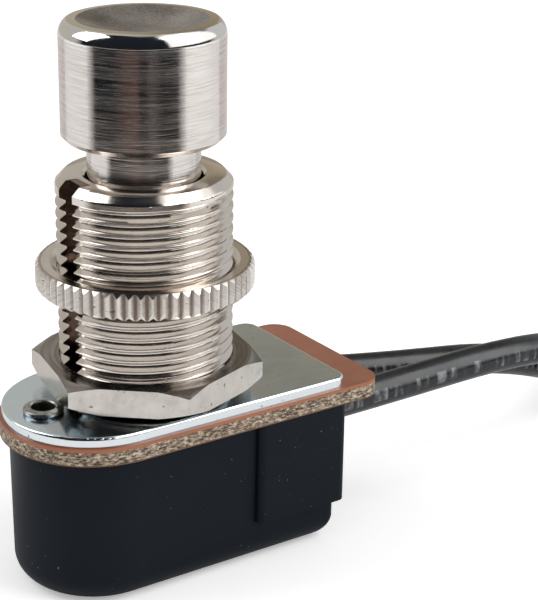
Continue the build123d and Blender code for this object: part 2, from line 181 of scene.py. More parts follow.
def wire(tree, shader, **sockets):
    """Gives each of the shader's sockets its value or link."""
    for name, value in sockets.items():
        connect(tree, value, shader.inputs[name.replace("_", " ")])


def maths(tree, operation, *values):
    node = tree.nodes.new("ShaderNodeMath")
    node.operation = operation
    for socket, value in zip(node.inputs, values):
        connect(tree, value, socket)
    return node.outputs[0]


def times(tree, product, *factors):
    for factor in factors:
        product = maths(tree, "MULTIPLY", product, factor)
    return product


def split(tree, vector):
    """x, y and z of a vector."""
    outputs = add_node(tree, "ShaderNodeSeparateXYZ", {0: vector}).outputs
    return outputs[0], outputs[1], outputs[2]


def flat_length(tree, x, y):
    return maths(tree, "SQRT", maths(tree, "ADD", times(tree, x, x), times(tree, y, y)))


def way_round(tree, x, y):
    """The angle round the axis, from the camera's side."""
    return maths(tree, "ARCTAN2", x, times(tree, y, -1.0))


def noise(tree, vector, scale, detail=2.0, roughness=0.5):
    return add_node(
        tree,
        "ShaderNodeTexNoise",
        {"Vector": vector, "Scale": scale, "Detail": detail, "Roughness": roughness},
    ).outputs["Fac"]


def layered(tree, first, second):
    """Three parts of the first noise to two of the second."""
    return maths(tree, "ADD", times(tree, first, 0.6), times(tree, second, 0.4))


def ramp(tree, value, *stops):
    """Maps a value through colour stops (position, (r, g, b))."""
    node = add_node(tree, "ShaderNodeValToRGB", {"Fac": value})
    elements = node.color_ramp.elements
    while len(elements) < len(stops):
        elements.new(0.5)
    for element, (position, colour) in zip(elements, stops):
        element.position = position
        element.color = (*colour, 1.0)
    return node.outputs["Color"]


def spread(tree, value, low, high, to_low=0.0, to_high=1.0):
    """Maps low..high to to_low..to_high, clamped."""
    return add_node(
        tree,
        "ShaderNodeMapRange",
        {"Value": value, "From Min": low, "From Max": high, "To Min": to_low, "To Max": to_high},
    ).outputs["Result"]


def mix(tree, factor, first, second):
    node = tree.nodes.new("ShaderNodeMix")
    node.data_type = "RGBA"
    connect(tree, factor, node.inputs["Factor"])
    connect(tree, first, node.inputs["A"])
    connect(tree, second, node.inputs["B"])
    return node.outputs["Result"]


def bump(tree, height, distance, normal=None):
    inputs = {"Height": height, "Distance": distance, "Strength": 1.0}
    if normal is not None:
        inputs["Normal"] = normal
    return add_node(tree, "ShaderNodeBump", inputs).outputs["Normal"]


def new_material(name, **sockets):
    """A Principled material with its constant sockets set."""
    material = bpy.data.materials.new(name)
    material.use_nodes = True
    shader = material.node_tree.nodes["Principled BSDF"]
    wire(material.node_tree, shader, **sockets)
    return material, material.node_tree, shader


def object_point(tree):
    return add_node(tree, "ShaderNodeTexCoord").outputs["Object"]


def scaled(tree, vector, factors):
    return add_node(
        tree,
        "ShaderNodeVectorMath",
        {0: vector, 1: factors},
        operation="MULTIPLY",
    ).outputs[0]


def axis_point(tree):
    """x, y and z of the point, and its distance from the axis."""
    x, y, z = split(tree, object_point(tree))
    return x, y, z, flat_length(tree, x, y)


def turned_point(tree, around, across):
    """A point that varies slowly round the axis and fast across the turning lines."""
    x, y, z, radius = axis_point(tree)
    line = maths(tree, "ADD", z, times(tree, radius, RADIUS_TO_LINE))
    return add_node(
        tree,
        "ShaderNodeCombineXYZ",
        {0: times(tree, x, around), 1: times(tree, y, around), 2: times(tree, line, across)},
    ).outputs[0]


def up_facing(tree):
    """1 where the surface faces up, 0 on its sides."""
    normal = add_node(tree, "ShaderNodeNewGeometry").outputs["True Normal"]
    return spread(tree, split(tree, normal)[2], 0.6, 0.8)


def darkened(colour, share):
    return tuple(share * c for c in colour)


# Materials

# Turning lines run on over flat ends by this share of the radius
RADIUS_TO_LINE = 0.71

# Painted shade: the colour that the keyway and the knurl's grooves get, where light doesn't reach
RECESS_SHADE = (0.27, 0.21, 0.18, 1.0)

# The keyway's shade ends beside its walls, and only reaches this side of the axis
KEYWAY_FADE = 0.02 * MM
KEYWAY_SIDE_X = -4.5 * MM

# Heights of the board's red lip and of the brown line at its foot
BOARD_LIP = 0.22 * MM
BOARD_FOOT = 0.12 * MM

# Depths under the knurl's crests, and the darkest shade between its teeth
KNURL_GROOVE = 0.31 * MM
KNURL_TOOTH = 0.16 * MM
KNURL_WALL = (0.38 * MM, 0.42 * MM)
KNURL_DARKEST = 0.4


def keyway_shade(tree):
    """0 in the bushing's keyway, where shade is painted, and 1 elsewhere."""
    x, y = split(tree, object_point(tree))[:2]
    across = maths(
        tree,
        "SUBTRACT",
        times(tree, x, sin(KEYWAY_ANGLE)),
        times(tree, y, cos(KEYWAY_ANGLE)),
    )
    half_slot = KEYWAY_W / 2
    beside = spread(tree, maths(tree, "ABSOLUTE", across), half_slot, half_slot + KEYWAY_FADE)
    elsewhere = maths(tree, "GREATER_THAN", x, KEYWAY_SIDE_X)
    return maths(tree, "MAXIMUM", beside, elsewhere)


def knurl_shade(tree):
    """Painted shade: darker at the bottom of the knurl's grooves, 1 on the teeth and inside."""
    radius = axis_point(tree)[3]
    ring_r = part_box("knurled_nut")[1].x
    tooth = spread(tree, radius, ring_r - KNURL_GROOVE, ring_r - KNURL_TOOTH)
    inside = spread(tree, radius, *(ring_r - depth for depth in KNURL_WALL))
    return maths(tree, "MAXIMUM", maths(tree, "MAXIMUM", tooth, inside), KNURL_DARKEST)


def turned_nickel(name, relief, roughness, colour, shade, pit_depth):
    """Nickel plate over turned brass, with lines round the axis and painted shade where the shade is low.
    """
    material, tree, shader = new_material(name, Metallic=1.0)
    coarse = noise(tree, turned_point(tree, 120.0, 3500.0), scale=1.0, detail=3.0, roughness=0.6)
    fine = noise(tree, turned_point(tree, 250.0, 12000.0), scale=1.0)
    cloud = noise(tree, object_point(tree), scale=300.0, detail=3.0)
    tint = ramp(tree, cloud, (0.3, colour), (0.75, darkened(colour, 0.88)))
    pits = spread(tree, noise(tree, object_point(tree), scale=2600.0, detail=1.0), 0.2, 0.3)
    lines = bump(tree, layered(tree, coarse, fine), relief)
    wire(
        tree,
        shader,
        # Painted shade, mixed in where the shade is low
        Base_Color=mix(tree, shade(tree), RECESS_SHADE, tint),
        Roughness=spread(tree, coarse, 0.35, 0.7, roughness * 0.75, roughness * 1.4),
        Normal=bump(tree, pits, pit_depth, lines),
    )
    return material


def button_side():
    """The button's side and neck: satin nickel with fine turning lines."""
    material, tree, shader = new_material(
        "button_side",
        Metallic=1.0,
        Anisotropic=0.5,
        Anisotropic_Rotation=0.25,
    )
    coarse = noise(tree, turned_point(tree, 110.0, 4200.0), scale=1.0, detail=3.0, roughness=0.6)
    fine = noise(tree, turned_point(tree, 420.0, 12000.0), scale=1.0)
    tangent = add_node(tree, "ShaderNodeTangent", direction_type="RADIAL", axis="Z")
    wire(
        tree,
        shader,
        Base_Color=ramp(tree, fine, (0.3, (0.58, 0.54, 0.51)), (0.6, (0.74, 0.70, 0.67))),
        Roughness=spread(tree, coarse, 0.35, 0.65, 0.10, 0.22),
        Normal=bump(tree, layered(tree, coarse, fine), 20e-6),
        Tangent=tangent.outputs[0],
    )
    return material


def button_polished():
    """The shoulder of the button's head, polished."""
    material, tree, shader = new_material(
        "button_polished",
        Metallic=1.0,
        Base_Color=(0.80, 0.79, 0.78, 1.0),
    )
    scuff = noise(tree, object_point(tree), scale=1400.0, detail=4.0, roughness=0.65)
    wire(
        tree,
        shader,
        Roughness=spread(tree, scuff, 0.45, 0.75, 0.05, 0.16),
        Normal=bump(tree, scuff, 5e-6),
    )
    return material


def button_matte(name, dark, light, roughness, relief):
    """The grainy dish of the button's head, or the land round it."""
    material, tree, shader = new_material(name, Metallic=1.0)
    grain = noise(tree, object_point(tree), scale=7000.0, detail=3.0, roughness=0.65)
    cloud = noise(tree, object_point(tree), scale=500.0, detail=3.0)
    wire(
        tree,
        shader,
        Base_Color=ramp(tree, layered(tree, grain, cloud), (0.38, dark), (0.62, light)),
        Roughness=spread(tree, cloud, 0.3, 0.7, roughness * 0.9, roughness * 1.1),
        Normal=bump(tree, grain, relief),
    )
    return material


def hex_nickel():
    """Nickel on a hexagon bar: turned top painted much darker as shade, plain flats with small pits."""
    material, tree, shader = new_material("hexagon_nickel", Metallic=1.0)
    top = up_facing(tree)
    lines = noise(tree, turned_point(tree, 150.0, 7000.0), scale=1.0, detail=3.0, roughness=0.6)
    cloud = noise(tree, object_point(tree), scale=900.0, detail=4.0, roughness=0.6)
    height = add_node(tree, "ShaderNodeMix", {"Factor": top, "A": cloud, "B": lines}).outputs["Result"]
    pits = spread(tree, noise(tree, object_point(tree), scale=3200.0, detail=1.0), 0.2, 0.28)
    flats = ramp(tree, cloud, (0.35, (0.66, 0.62, 0.575)), (0.7, (0.58, 0.545, 0.505)))
    # Painted shade: the top is coloured much darker than the flats
    painted_dark_top = ramp(tree, lines, (0.35, (0.15, 0.135, 0.13)), (0.65, (0.36, 0.335, 0.315)))
    wire(
        tree,
        shader,
        Base_Color=mix(tree, pits, (0.22, 0.2, 0.18, 1.0), mix(tree, top, flats, painted_dark_top)),
        Roughness=spread(tree, cloud, 0.3, 0.7, 0.16, 0.3),
        Normal=bump(tree, pits, 12e-6, bump(tree, height, 2.5e-6)),
    )
    return material


def zinc_plate():
    """Bluish zinc plate, satin, with faint straw patches and fine grain."""
    material, tree, shader = new_material("zinc_plate", Metallic=1.0)
    point = object_point(tree)
    cloud = noise(tree, point, scale=220.0, detail=4.0, roughness=0.55)
    grain = noise(tree, point, scale=5000.0, detail=3.0, roughness=0.6)
    wave = noise(tree, point, scale=420.0)
    face = ramp(
        tree,
        cloud,
        (0.3, (0.66, 0.79, 0.90)),
        (0.55, (0.72, 0.84, 0.93)),
        (0.8, (0.80, 0.80, 0.78)),
    )
    tint = mix(tree, up_facing(tree), (0.76, 0.80, 0.83, 1.0), face)
    speck = spread(tree, noise(tree, point, scale=3000.0, detail=1.0), 0.2, 0.27)
    wire(
        tree,
        shader,
        Base_Color=mix(tree, speck, (0.2, 0.22, 0.23, 1.0), tint),
        Roughness=maths(tree, "ADD", spread(tree, cloud, 0.3, 0.7, 0.09, 0.17), times(tree, grain, 0.08)),
        Normal=bump(tree, grain, 3e-6, bump(tree, wave, 22e-6)),
    )
    return material


def dull_steel(name, colour, roughness):
    material, tree, shader = new_material(name, Metallic=1.0)
    grain = noise(tree, object_point(tree), scale=2500.0, detail=4.0, roughness=0.6)
    wire(
        tree,
        shader,
        Base_Color=ramp(tree, grain, (0.35, darkened(colour, 0.7)), (0.65, colour)),
        Roughness=spread(tree, grain, 0.3, 0.7, roughness * 0.8, roughness * 1.3),
        Normal=bump(tree, grain, 5e-6),
    )
    return material


def board_laminate():
    """Red-brown face and lip, speckled paper layers on the edge and a thin brown line at its foot."""
    material, tree, shader = new_material("board_laminate")
    point = object_point(tree)
    top = up_facing(tree)
    fibre = noise(tree, scaled(tree, point, (1.0, 1.0, 2.6)), scale=2900.0, detail=4.0, roughness=0.75)
    speckle = ramp(
        tree,
        fibre,
        (0.38, (0.04, 0.028, 0.02)),
        (0.47, (0.16, 0.11, 0.075)),
        (0.54, (0.36, 0.28, 0.20)),
        (0.64, (0.66, 0.56, 0.43)),
    )
    cloud = noise(tree, point, scale=500.0, detail=3.0)
    face = ramp(tree, cloud, (0.3, (0.235, 0.088, 0.05)), (0.7, (0.285, 0.11, 0.064)))
    wobble = times(tree, noise(tree, point, scale=1500.0), 0.06 * MM)
    level = maths(tree, "ADD", split(tree, point)[2], wobble)
    in_lip = maths(tree, "GREATER_THAN", level, BOARD_HIGH.z - BOARD_LIP)
    in_foot = maths(tree, "LESS_THAN", level, BOARD_LOW.z + BOARD_FOOT)
    edge = mix(tree, in_lip, speckle, (0.38, 0.14, 0.07, 1.0))
    edge = mix(tree, in_foot, edge, (0.16, 0.085, 0.05, 1.0))
    grain = noise(tree, point, scale=6000.0)
    heights = maths(tree, "ADD", times(tree, fibre, 2.0), grain)
    sides = maths(tree, "SUBTRACT", 1.0, times(tree, top, 0.85))
    wire(
        tree,
        shader,
        Base_Color=mix(tree, top, edge, face),
        Roughness=spread(tree, top, 0.0, 1.0, 0.75, 0.38),
        Normal=bump(tree, times(tree, heights, sides), 20e-6),
    )
    return material


def case_phenolic():
    """Matte blue-black moulding with a fine skin and a little dust."""
    material, tree, shader = new_material("case_phenolic", Specular_IOR_Level=0.12)
    point = object_point(tree)
    cloud = noise(tree, point, scale=180.0, detail=3.0)
    skin = noise(tree, point, scale=4200.0, detail=3.0, roughness=0.6)
    base = ramp(tree, cloud, (0.3, (0.0035, 0.0065, 0.0115)), (0.7, (0.0055, 0.009, 0.015)))
    dust = spread(tree, noise(tree, point, scale=4200.0, detail=1.0), 0.785, 0.80, 0.0, 0.35)
    wire(
        tree,
        shader,
        Base_Color=mix(tree, dust, base, (0.35, 0.36, 0.38, 1.0)),
        Roughness=spread(tree, cloud, 0.3, 0.7, 0.40, 0.5),
        Normal=bump(tree, skin, 6e-6),
    )
    return material


def lead_pvc():
    """Glossy black PVC with faint ripples and a band of pale worn marks."""
    material, tree, shader = new_material("lead_pvc")
    point = object_point(tree)
    ripple = noise(tree, point, scale=700.0, detail=3.0)
    normal = add_node(tree, "ShaderNodeNewGeometry").outputs["Normal"]
    facing_out, facing_up = split(tree, normal)[1:]
    off_band = maths(tree, "ABSOLUTE", maths(tree, "SUBTRACT", facing_up, 0.12))
    stroke = noise(tree, scaled(tree, point, (2300.0, 90.0, 200.0)), scale=1.0, detail=1.0)
    worn = noise(tree, point, scale=900.0, detail=3.0, roughness=0.6)
    marks = times(
        tree,
        spread(tree, stroke, 0.50, 0.66),
        spread(tree, worn, 0.38, 0.62, 0.1, 0.8),
        times(tree, spread(tree, facing_out, -0.55, -0.75), spread(tree, off_band, 0.42, 0.34)),
    )
    black = ramp(tree, ripple, (0.3, (0.004, 0.006, 0.009)), (0.7, (0.008, 0.011, 0.015)))
    wire(
        tree,
        shader,
        Base_Color=mix(tree, marks, black, (0.34, 0.36, 0.38, 1.0)),
        Roughness=spread(tree, ripple, 0.3, 0.7, 0.2, 0.34),
        Normal=bump(tree, ripple, 30e-6),
    )
    return material


def moulded(name, colour, roughness):
    material, tree, shader = new_material(name)
    grain = noise(tree, object_point(tree), scale=1800.0, detail=3.0)
    wire(
        tree,
        shader,
        Base_Color=ramp(tree, grain, (0.3, darkened(colour, 0.85)), (0.7, colour)),
        Roughness=spread(tree, grain, 0.3, 0.7, roughness * 0.85, roughness * 1.15),
        Normal=bump(tree, grain, 6e-6),
    )
    return material


def paint(material, *names):
    """Gives the material to CAD nodes or pieces, by name or object."""
    for name in names:
        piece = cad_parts[name] if isinstance(name, str) else name
        piece.data.materials.clear()
        piece.data.materials.append(material)


# Threaded bushing

def mesh_piece(name, points, faces, smooth_angle):
    mesh = bpy.data.meshes.new(name)
    mesh.from_pydata(points, [], faces)
    mesh.validate()
    mesh.shade_smooth()
    mesh.set_sharp_from_angle(angle=smooth_angle)
    piece = bpy.data.objects.new(name, mesh)
    bpy.context.scene.collection.objects.link(piece)
    return piece


def threaded_bushing():
    """The bushing with its right-hand thread and keyway, one closed skin of columns round the axis."""
    crest_r = BUSHING_HIGH.x
    top = BUSHING_HIGH.z
    foot = BUSHING_LOW.z
    half_slot = KEYWAY_W / 2
    slot_x = -(crest_r - KEYWAY_DEPTH)
    slot_turn = KEYWAY_ANGLE - pi
    pitches = ceil((top - PLATE_TOP) / THREAD_PITCH) + 2

    def lip_radius(z):
        return crest_r - max(0.0, LIP_CHAMFER - (top - z))

    def thread_rows(angle):
        """Radius and level of each row of the thread in the column at that angle."""
        rows = []
        for turn in range(-1, pitches):
            for share, depth in THREAD_PROFILE:
                z = THREAD_PITCH * (turn - THREAD_PHASE + share + (angle + slot_turn) / tau)
                z = min(max(z, PLATE_TOP), top)
                cut = min(max((top - PLAIN_BAND - z) / THREAD_RUNOUT, 0.0), 1.0)
                rows.append((min(crest_r - THREAD_DEPTH * depth * cut, lip_radius(z)), z))
        return rows

    def column(angle, place):
        """The closed section at one angle, from the web's hole out and up, and back down the bore."""
        rows = [
            (WEB_HOLE_R, foot),
            (CLINCH_R, foot),
            (CLINCH_R, -PLATE_T),
            (SPIGOT_R, -PLATE_T),
            (SPIGOT_R, PLATE_TOP),
        ]
        points = [Vector((r * cos(angle), r * sin(angle), z)) for r, z in rows]
        points += [place(r, z) for r, z in thread_rows(angle)]
        inner = [
            (BORE_R + BORE_CHAMFER, top),
            (BORE_R, top - BORE_CHAMFER),
            (BORE_R, WEB_TOP_Z),
            (WEB_HOLE_R, WEB_TOP_Z),
        ]
        points += [Vector((r * cos(angle), r * sin(angle), z)) for r, z in inner]
        return points

    # The columns start at the slot's near wall and go once round to its far wall
    wall_angle = asin(half_slot / crest_r)
    start = pi + wall_angle
    sweep = tau - 2 * wall_angle
    settle = radians(25.0)
    columns = []
    for step in range(THREAD_COLUMNS + 1):
        angle = start + sweep * step / THREAD_COLUMNS

        def on_wall_side(r, z, angle=angle):
            """Columns near the slot lean so that the first and last follow its flat walls."""
            from_near = angle - start
            from_far = start + sweep - angle
            lean = asin(half_slot / r) - wall_angle
            shift = lean * max(0.0, 1 - from_near / settle) - lean * max(0.0, 1 - from_far / settle)
            return Vector((r * cos(angle + shift), r * sin(angle + shift), z))

        columns.append(column(angle, on_wall_side))

    def slot_floor(angle, y):
        def on_floor(r, z):
            return Vector((max(slot_x, -sqrt(r * r - y * y)), y, z))

        return column(angle, on_floor)

    turn_rows = len(THREAD_PROFILE)
    far_floor = slot_floor(start + sweep, half_slot)
    near_floor = slot_floor(start, -half_slot)
    columns = [near_floor] + columns + [far_floor]
    count = len(columns[0])
    turned = Matrix.Rotation(slot_turn, 3, "Z")
    points = [turned @ p for col in columns for p in col]
    faces = []
    for c in range(len(columns) - 1):
        for i in range(count):
            j = (i + 1) % count
            faces.append((c * count + i, c * count + j, (c + 1) * count + j, (c + 1) * count + i))
    # The slot's floor joins the last column to the first, one turn of rows further up
    last = (len(columns) - 1) * count
    foot_rows = 5
    inner_rows = 4
    thread_start = foot_rows
    thread_end = count - inner_rows
    for i in range(count):
        j = (i + 1) % count
        far_pair = (last + i, last + j)
        if thread_start <= i < thread_end - 1:
            near_i = min(i + turn_rows, thread_end - 1)
            near_j = min(j + turn_rows, thread_end - 1)
            faces.append((*far_pair, near_j, near_i))
        elif i == thread_start - 1:
            faces.append((*far_pair, thread_start + turn_rows, i))
            for k in range(thread_start, thread_start + turn_rows):
                faces.append((i, k + 1, k))
        else:
            faces.append((*far_pair, j, i))
    piece = mesh_piece("threaded_bushing", points, faces, smooth_angle=radians(35.0))
    tidy_mesh(piece.data)
    return piece


def tidy_mesh(mesh):
    """Joins coincident points and turns every face outwards."""
    work = bmesh.new()
    work.from_mesh(mesh)
    bmesh.ops.remove_doubles(work, verts=work.verts, dist=JOIN_DISTANCE)
    bmesh.ops.dissolve_degenerate(work, edges=work.edges, dist=JOIN_DISTANCE)
    bmesh.ops.recalc_face_normals(work, faces=work.faces)
    work.to_mesh(mesh)
    work.free()


def turned_button():
    """The button as one turned skin, and the finish of each zone by face."""
    low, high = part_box("button")
    top = high.z
    head_r = high.x
    foot = BUSHING_HIGH.z + HEAD_GAP
    side, shoulder, land, dish = range(4)
    rows = [
        (0.0, low.z + SOCKET_DEPTH, side),
        (PLUNGER_R, low.z + SOCKET_DEPTH, side),
        (PLUNGER_R, low.z, side),
        (NECK_R, low.z, side),
        (NECK_R, foot, side),
        (head_r - HEAD_FOOT_CHAMFER, foot, side),
        (head_r, foot + HEAD_FOOT_CHAMFER, side),
    ]
    # The shoulder leaves the side smoothly and meets the land at an edge
    arc = [(0.0, 0.0)]
    begin = 0.0
    for arc_r, end in SHOULDER_ARCS:
        start_in, start_up = arc[-1]
        for step in range(1, ARC_STEPS + 1):
            turned = begin + (end - begin) * step / ARC_STEPS
            inwards = start_in + arc_r * (cos(begin) - cos(turned))
            arc.append((inwards, start_up + arc_r * (sin(turned) - sin(begin))))
        begin = end
    base = top - LAND_SLOPE - arc[-1][1]
    rows += [(head_r - inwards, base + up, shoulder) for inwards, up in arc]
    rows[-1] = (*rows[-1][:2], land)
    dish_r = (LAND_R**2 + DISH_DEPTH**2) / (2 * DISH_DEPTH)
    for step in range(ARC_STEPS + 1):
        radius = LAND_R * (1 - step / ARC_STEPS)
        rows.append((radius, top - DISH_DEPTH + dish_r - sqrt(dish_r**2 - radius**2), dish))
    points = []
    for column in range(TURNED_COLUMNS):
        angle = tau * column / TURNED_COLUMNS
        points += [(r * cos(angle), r * sin(angle), z) for r, z, _ in rows]
    faces = []
    count = len(rows)
    for column in range(TURNED_COLUMNS):
        here = column * count
        there = (column + 1) % TURNED_COLUMNS * count
        faces += [(here + i, there + i, there + i + 1, here + i + 1) for i in range(count - 1)]
    piece = mesh_piece("turned_button", points, faces, smooth_angle=radians(15.0))
    for face in piece.data.polygons:
        face.material_index = rows[face.index % (count - 1)][2]
    tidy_mesh(piece.data)
    return piece


bushing = threaded_bushing()
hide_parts("bushing")
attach(bushing, "housing")
button = turned_button()
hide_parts("button")
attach(button, "push_button")


# Leads

def lead_points(route, layer_z):
    """The route as listed, then the coil's turns by a loop, in metres."""
    points = [tuple(MM * c for c in point) for point in route]
    # A spline of this order runs inside its points, by the cosine of half a step
    inside = cos(pi / COIL_POINTS_A_TURN)
    steps = round(COIL_TURNS * COIL_POINTS_A_TURN)
    for step in range(1, steps + 1):
        turned = COIL_TURNS * step / steps
        angle = COIL_JOIN - tau * turned
        radius = (COIL_R - COIL_PITCH * turned) / inside
        x = COIL_CENTRE[0] + radius * cos(angle)
        y = COIL_CENTRE[1] + radius * sin(angle)
        points.append((x, y, layer_z))
    return points


def lead(name, route):
    points = lead_points(route, MM * route[-1][2])
    curve = bpy.data.curves.new(name, "CURVE")
    curve.dimensions = "3D"
    # The points' radius widens the piece's box in metres, so it holds the thickness
    curve.bevel_depth = 1.0
    curve.bevel_resolution = 8
    curve.use_fill_caps = True
    spline = curve.splines.new("NURBS")
    spline.points.add(len(points) - 1)
    for control, point in zip(spline.points, points):
        control.co = (*point, 1.0)
        control.radius = LEAD_D / 2
    spline.order_u = 3
    spline.use_endpoint_u = True
    spline.resolution_u = 10
    piece = bpy.data.objects.new(name, curve)
    bpy.context.scene.collection.objects.link(piece)
    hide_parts(name.replace("_cord", ""), name.replace("_cord", "_coil"))
    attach(piece, "housing")
    return piece


front_lead = lead("front_lead_cord", FRONT_ROUTE_MM)
rear_lead = lead("rear_lead_cord", REAR_ROUTE_MM)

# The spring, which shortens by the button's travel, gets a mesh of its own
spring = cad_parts["return_spring"]
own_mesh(spring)

# Finish of every piece
land_nickel = button_matte("button_land", (0.56, 0.50, 0.39), (0.68, 0.60, 0.47), 0.26, 4e-6)
dish_nickel = button_matte("button_dish", (0.22, 0.205, 0.20), (0.48, 0.455, 0.44), 0.40, 18e-6)
for zone_finish in (button_side(), button_polished(), land_nickel, dish_nickel):
    button.data.materials.append(zone_finish)
paint(
    turned_nickel("bushing_nickel", 6e-6, 0.13, (0.76, 0.71, 0.66), keyway_shade, 8e-6),
    bushing,
)
paint(
    turned_nickel("ring_nickel", 4e-6, 0.18, (0.78, 0.74, 0.69), knurl_shade, 10e-6),
    "knurled_nut",
)
paint(hex_nickel(), "hex_nut")
paint(zinc_plate(), "frame_plate")
paint(dull_steel("eyelet_steel", (0.42, 0.43, 0.42), 0.28), "front_eyelet", "rear_eyelet")
paint(board_laminate(), "insulating_board")
paint(case_phenolic(), "case")
paint(
    dull_steel("terminal_brass", (0.78, 0.58, 0.26), 0.3),
    "front_terminal",
    "rear_terminal",
    "contact_bridge",
)
paint(
    dull_steel("contact_silver", (0.82, 0.81, 0.79), 0.25),
    "moving_contacts",
    "front_fixed_contact",
    "rear_fixed_contact",
)
paint(dull_steel("spring_steel", (0.5, 0.5, 0.5), 0.3), "return_spring", "bridge_clip")
paint(moulded("plunger_plastic", (0.75, 0.72, 0.65), 0.45), "plunger")
paint(lead_pvc(), front_lead, rear_lead)
paint(
    dull_steel("tinned_copper", (0.72, 0.7, 0.68), 0.32),
    "front_lead_tip",
    "rear_lead_tip",
    "front_lead_inner_end",
    "rear_lead_inner_end",
)
paint(moulded("tie_plastic", (0.8, 0.8, 0.78), 0.4), "coil_tie")


# Studio

FLOOR_WIDTH = 4.0
# The lamps light the floor up to the first distance, and leave it dim from the second
FLOOR_LIT = 150 * MM
FLOOR_DIM = 500 * MM
FLOOR_LIFT = 0.32
FAR_LIFT = 0.58
WORLD_STRENGTH = 0.5
ROOM_RADIUS = 0.6
DARK_TURN = radians(-9.0)
OVERHEAD = (0.42, 0.39, 0.35)
# The white sheet painted into the room's glow on the right, by its sides, the width of its soft sides and
# its colour
SHEET_LEFT = radians(36.0)
SHEET_RIGHT = radians(118.0)
SHEET_EDGE = radians(5.0)
SHEET_WHITE = (1.25, 1.22, 1.18, 1.0)
# Painted reflections, as cards on the floor just above it: near and far ends, sides, and the width of
# soft sides
CARD_GAP = 0.2 * MM
CARD_STEPS = 12
CARD_NEAR = 66 * MM
CARD_DARK = 112 * MM
CARD_FAR = 400 * MM
CARD_LEFT = radians(-77.0)
CARD_RIGHT = radians(61.0)
CARD_EDGE = radians(12.0)
BACK_NEAR = 30 * MM
BACK_LEFT = radians(127.0)
BACK_RIGHT = radians(233.0)
LAMP_AIM_Z = 5 * MM
LAMP_DISTANCE = 0.35
LAMP_ELEVATION = radians(40.0)


def glowing_material(name):
    """A material that only shines; the colour goes into the Emission Color socket."""
    return new_material(
        name,
        Base_Color=(0.0, 0.0, 0.0, 1.0),
        Roughness=1.0,
        Specular_IOR_Level=0.0,
        Emission_Strength=1.0,
    )


def stage_piece(name, mesh, matrix, material):
    mesh.materials.append(material)
    piece = bpy.data.objects.new(name, mesh)
    piece.matrix_world = matrix
    bpy.context.scene.collection.objects.link(piece)
    return piece


def only_in_reflections(piece):
    piece.visible_camera = False
    piece.visible_diffuse = False
    piece.visible_shadow = False


def square(name, width):
    mesh = bpy.data.meshes.new(name)
    half = width / 2
    corners = [(-half, -half, 0), (half, -half, 0), (half, half, 0), (-half, half, 0)]
    mesh.from_pydata(corners, [], [(0, 1, 2, 3)])
    return mesh


def lamp(name, azimuth, size, energy):
    """An area lamp at that side of the object, measured from the camera's side."""
    light = bpy.data.lights.new(name, "AREA")
    light.shape = "RECTANGLE"
    light.size, light.size_y = size
    light.energy = energy
    piece = bpy.data.objects.new(name, light)
    turn = Matrix.Rotation(CAMERA_AZIMUTH + azimuth, 4, "Z")
    tilt = Matrix.Rotation(pi / 2 - LAMP_ELEVATION, 4, "X")
    out = Matrix.Translation((0, 0, LAMP_DISTANCE))
    piece.matrix_world = Matrix.Translation((0, 0, LAMP_AIM_Z)) @ turn @ tilt @ out
    bpy.context.scene.collection.objects.link(piece)


def room_material():
    """The room that reflections show, as a painted reflection that glows only for them: dark on the
    camera's side, brown-grey behind the object.
    """
    material, tree, shader = glowing_material("room")
    way = add_node(
        tree,
        "ShaderNodeVectorMath",
        {0: object_point(tree)},
        operation="NORMALIZE",
    ).outputs[0]
    x, y, z = split(tree, way)
    # The dark side is turned a little to the left of the camera
    forward = maths(tree, "ADD", times(tree, y, -cos(DARK_TURN)), times(tree, x, -sin(DARK_TURN)))
    ahead = maths(tree, "DIVIDE", forward, maths(tree, "MAXIMUM", flat_length(tree, x, y), 0.05))
    behind = ramp(
        tree,
        z,
        (0.0, (0.50, 0.45, 0.37)),
        (0.345, (0.36, 0.31, 0.22)),
        (0.385, (0.25, 0.215, 0.165)),
        (0.60, (0.21, 0.19, 0.17)),
        (0.76, (0.28, 0.26, 0.235)),
        (0.87, OVERHEAD),
    )
    # Painted reflections of brighter patches overhead on the right, beside it, and on the left
    lit = times(tree, spread(tree, x, 0.06, 0.30), spread(tree, z, 0.76, 0.86))
    behind = mix(tree, lit, behind, (0.72, 0.67, 0.62, 1.0))
    beside = times(tree, spread(tree, x, 0.28, 0.40), spread(tree, z, 0.66, 0.58))
    behind = mix(tree, beside, behind, (0.60, 0.60, 0.59, 1.0))
    left = spread(tree, x, 0.02, -0.10)
    behind = mix(tree, left, behind, (0.52, 0.49, 0.44, 1.0))
    before = ramp(
        tree,
        z,
        (0.0, (0.016, 0.014, 0.014)),
        (0.55, (0.012, 0.016, 0.022)),
        (0.965, (0.014, 0.018, 0.024)),
        (0.995, OVERHEAD),
    )
    room_colour = mix(tree, spread(tree, ahead, -0.30, -0.05), behind, before)
    # A painted reflection of a large white sheet that stands on the right and leans over the object
    angle = way_round(tree, x, y)
    sheet = times(
        tree,
        spread(tree, angle, SHEET_LEFT, SHEET_LEFT + SHEET_EDGE),
        spread(tree, angle, SHEET_RIGHT + SHEET_EDGE, SHEET_RIGHT),
        spread(tree, z, 0.10, 0.16),
        spread(tree, x, 0.16, 0.30),
    )
    wire(tree, shader, Emission_Color=mix(tree, sheet, room_colour, SHEET_WHITE))
    return material


